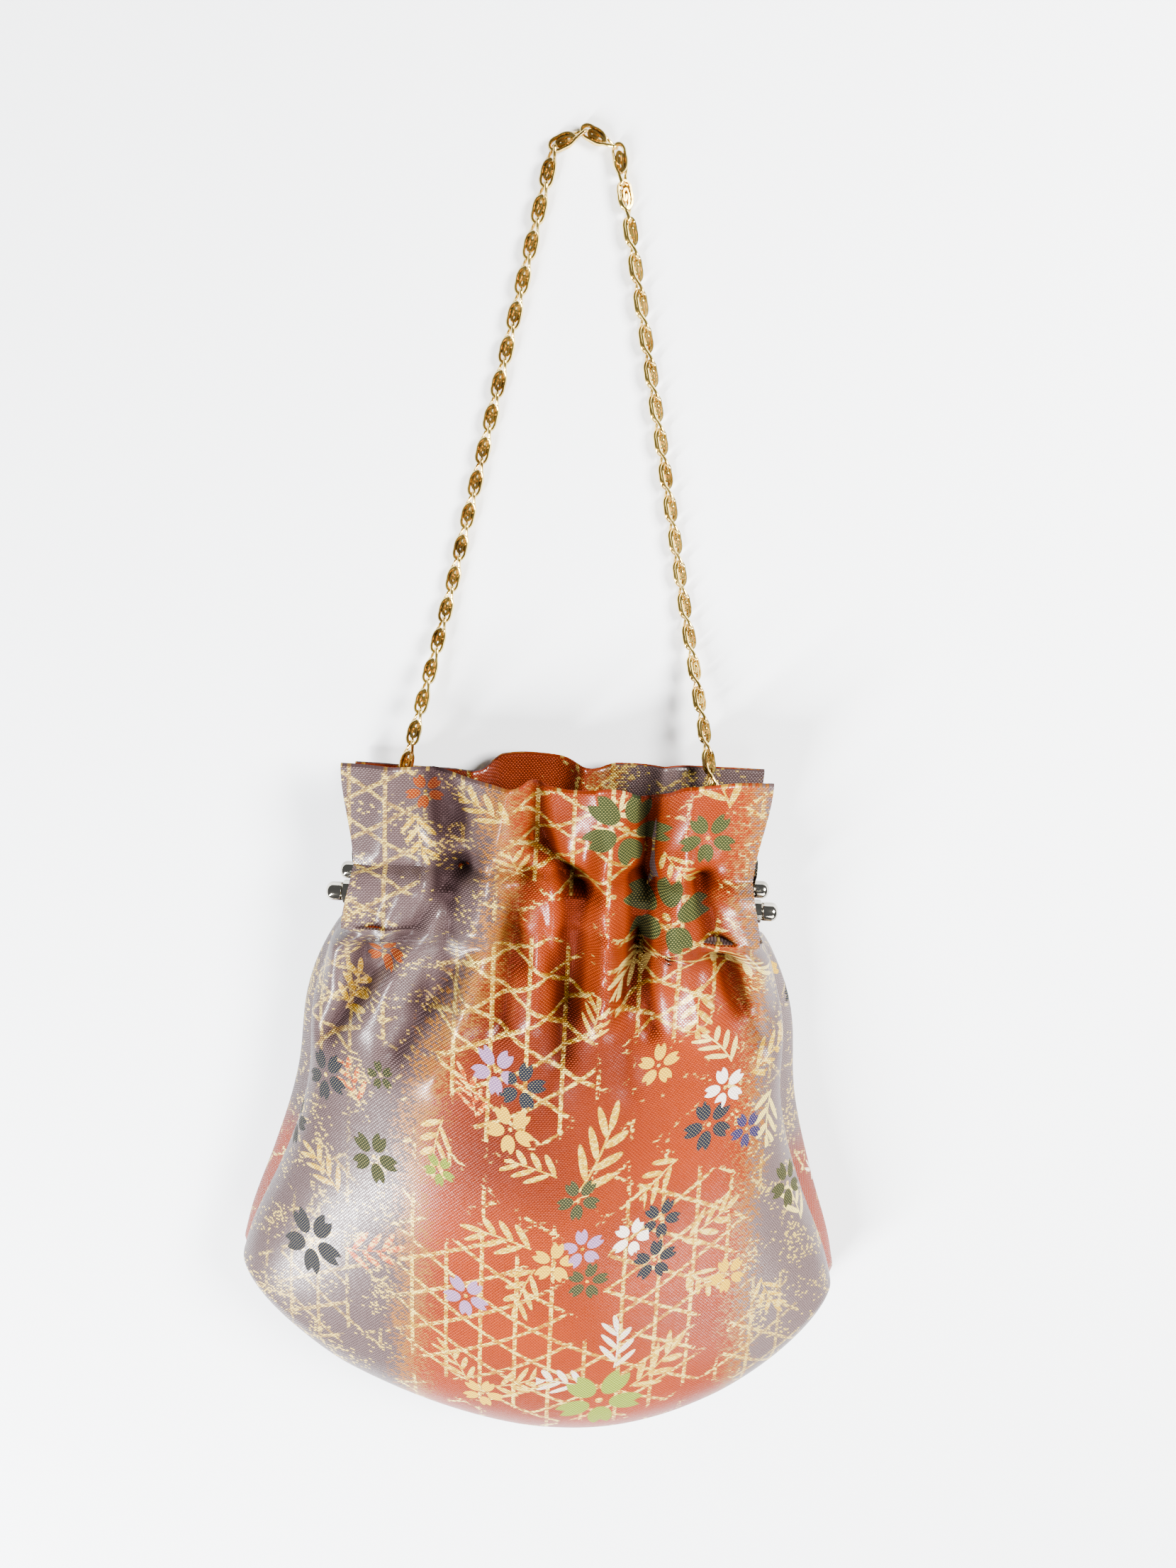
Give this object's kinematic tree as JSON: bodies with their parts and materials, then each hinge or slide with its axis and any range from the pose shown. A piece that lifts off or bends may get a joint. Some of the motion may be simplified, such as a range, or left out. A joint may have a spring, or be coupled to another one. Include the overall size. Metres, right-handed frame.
{
  "type": "small evening handbag",
  "caption": "Small gathered cloth evening bag with a ruffled mouth on a rod frame that hinges open, hung from a gold scroll-link chain handle.",
  "frame": {"origin": "middle of the flat patch that the bag lies on, on the back panel", "axes": "+Y from the bottom seam towards the mouth and the chain, +Z out of the front panel, +X to the right seen from the front"},
  "size_m": [0.147, 0.304, 0.0344],
  "materials": {
    "orange_brocade": "silk brocade with gold thread",
    "lining_cloth": "plain satin",
    "dark_nickel": "polished dark nickel",
    "gold_plate": "polished gold plate"
  },
  "bodies": {
    "bag": {"back_panel": "orange_brocade", "front_panel": "orange_brocade", "lining": "lining_cloth", "back_rod": "dark_nickel", "back_rod_nut": "dark_nickel", "back_arm_left": "dark_nickel", "back_arm_right": "dark_nickel", "hinge_pin_left": "dark_nickel", "hinge_pin_right": "dark_nickel", "chain_link_01": "gold_plate", "chain_link_02": "gold_plate", "chain_link_03": "gold_plate", "chain_link_44": "gold_plate", "chain_link_45": "gold_plate", "chain_link_46": "gold_plate"},
    "front_frame": {"front_rod": "dark_nickel", "front_rod_nut": "dark_nickel", "front_arm_left": "dark_nickel", "front_arm_right": "dark_nickel"},
    "handle_fold_1": {"chain_link_04": "gold_plate", "chain_link_43": "gold_plate"},
    "handle_fold_2": {"chain_link_05": "gold_plate", "chain_link_42": "gold_plate"},
    "handle_fold_3": {"chain_link_06": "gold_plate", "chain_link_41": "gold_plate"},
    "handle_fold_4": {"chain_link_07": "gold_plate", "chain_link_40": "gold_plate"},
    "handle": {"chain_link_08": "gold_plate", "chain_link_09": "gold_plate", "chain_link_10": "gold_plate", "chain_link_11": "gold_plate", "chain_link_12": "gold_plate", "chain_link_13": "gold_plate", "chain_link_14": "gold_plate", "chain_link_15": "gold_plate", "chain_link_16": "gold_plate", "chain_link_17": "gold_plate", "chain_link_18": "gold_plate", "chain_link_19": "gold_plate", "chain_link_20": "gold_plate", "chain_link_21": "gold_plate", "chain_link_22": "gold_plate", "chain_link_23": "gold_plate", "chain_link_24": "gold_plate", "chain_link_25": "gold_plate", "chain_link_26": "gold_plate", "chain_link_27": "gold_plate", "chain_link_28": "gold_plate", "chain_link_29": "gold_plate", "chain_link_30": "gold_plate", "chain_link_31": "gold_plate", "chain_link_32": "gold_plate", "chain_link_33": "gold_plate", "chain_link_34": "gold_plate", "chain_link_35": "gold_plate", "chain_link_36": "gold_plate", "chain_link_37": "gold_plate", "chain_link_38": "gold_plate", "chain_link_39": "gold_plate"}
  },
  "joints": [
    {"name": "frame_hinge", "type": "hinge", "parent": "bag", "child": "front_frame", "pos_m": [0, 0.066, 0.0125], "axis": [1, 0, 0], "range_deg": [0, 60], "deforming": ["front_panel", "lining"]},
    {"name": "handle_hinge_1", "type": "hinge", "parent": "bag", "child": "handle_fold_1", "pos_m": [0, 0.106, 0.0105], "axis": [1, 0, 0], "range_deg": [0, 28]},
    {"name": "handle_hinge_2", "type": "hinge", "parent": "handle_fold_1", "child": "handle_fold_2", "pos_m": [0, 0.11294, 0.00978], "axis": [1, 0, 0], "range_deg": [0, 28]},
    {"name": "handle_hinge_3", "type": "hinge", "parent": "handle_fold_2", "child": "handle_fold_3", "pos_m": [0, 0.11977, 0.00835], "axis": [1, 0, 0], "range_deg": [0, 28]},
    {"name": "handle_hinge_4", "type": "hinge", "parent": "handle_fold_3", "child": "handle_fold_4", "pos_m": [0, 0.12642, 0.0062], "axis": [1, 0, 0], "range_deg": [0, 28]},
    {"name": "handle_hinge_5", "type": "hinge", "parent": "handle_fold_4", "child": "handle", "pos_m": [0, 0.13306, 0.00405], "axis": [1, 0, 0], "range_deg": [0, 28]}
  ]
}
